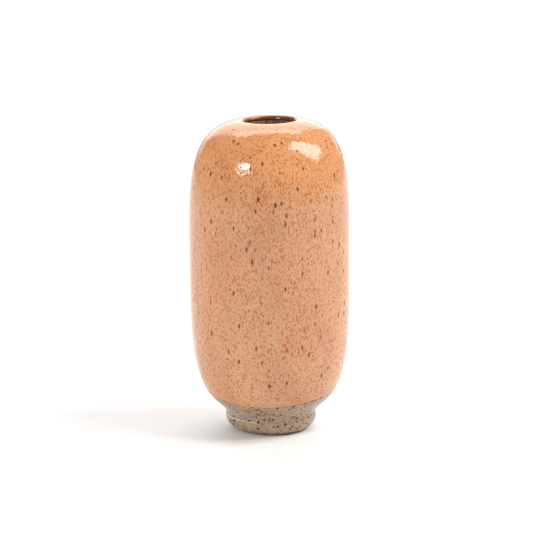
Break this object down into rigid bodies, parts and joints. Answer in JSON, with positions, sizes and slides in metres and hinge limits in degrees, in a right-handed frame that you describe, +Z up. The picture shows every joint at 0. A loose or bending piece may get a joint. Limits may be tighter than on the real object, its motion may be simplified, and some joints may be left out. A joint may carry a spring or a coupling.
{
  "type": "bud vase",
  "caption": "Tall rounded stoneware bud vase with a small round mouth, a narrow foot ring and speckled peach glaze.",
  "frame": {"origin": "middle of the flat ring under the foot that the vase stands on", "axes": "+Z up along the axis the vase was turned on, through the mouth; +X and +Y level, and the side in the picture faces -Y"},
  "size_m": [0.0818, 0.0818, 0.16],
  "materials": {
    "stoneware": "matte",
    "bare_clay": "matte",
    "peach_glaze": "gloss",
    "clear_glaze": "gloss",
    "liner_glaze": "gloss"
  },
  "bodies": {
    "root": {"stoneware_body": "stoneware", "foot_ring": "bare_clay", "peach_glaze_coat": "peach_glaze", "clear_foot_glaze": "clear_glaze", "liner_glaze": "liner_glaze"}
  },
  "joints": []
}
